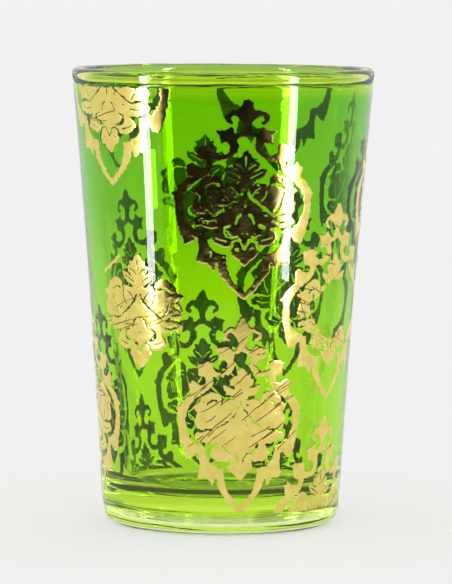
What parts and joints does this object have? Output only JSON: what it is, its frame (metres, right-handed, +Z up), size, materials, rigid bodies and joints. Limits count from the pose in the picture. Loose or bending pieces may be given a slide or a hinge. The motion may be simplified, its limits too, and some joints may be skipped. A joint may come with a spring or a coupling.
{
  "type": "moroccan tea glass",
  "caption": "Flared clear glass tumbler for mint tea, with a transparent green outer coat and gold foil damask medallions.",
  "frame": {"origin": "centre of the base, on the table", "axes": "+Z up along the glass's axis; the front, seen in the picture, faces -Y"},
  "size_m": [0.0594, 0.0594, 0.09],
  "materials": {
    "clear_glass": "smooth pressed glass",
    "green_lacquer": "transparent green lacquer",
    "gold_foil": "bright gold foil"
  },
  "bodies": {
    "root": {"back_left_bottom_bouquet": "gold_foil", "back_left_bottom_frame": "gold_foil", "back_left_middle_bouquet": "gold_foil", "back_left_middle_frame": "gold_foil", "back_left_top_bouquet": "gold_foil", "back_left_top_frame": "gold_foil", "back_lower_bouquet": "gold_foil", "back_lower_frame": "gold_foil", "back_right_bottom_bouquet": "gold_foil", "back_right_bottom_frame": "gold_foil", "back_right_middle_bouquet": "gold_foil", "back_right_middle_frame": "gold_foil", "back_right_top_frame": "gold_foil", "back_upper_bouquet": "gold_foil", "colour_coat": "green_lacquer", "front_left_middle_bouquet": "gold_foil", "front_left_middle_frame_strip": "gold_foil", "front_left_top_bouquet": "gold_foil", "front_left_top_frame": "gold_foil", "front_lower_bouquet": "gold_foil", "front_lower_frame": "gold_foil", "front_right_bottom_bouquet": "gold_foil", "front_right_bottom_frame": "gold_foil", "front_right_middle_bouquet": "gold_foil", "front_right_middle_frame": "gold_foil", "front_upper_bouquet": "gold_foil", "front_upper_frame": "gold_foil", "glass_body": "clear_glass", "left_lower_bouquet": "gold_foil", "left_lower_frame": "gold_foil", "right_upper_bouquet": "gold_foil", "right_upper_frame": "gold_foil"}
  },
  "joints": []
}
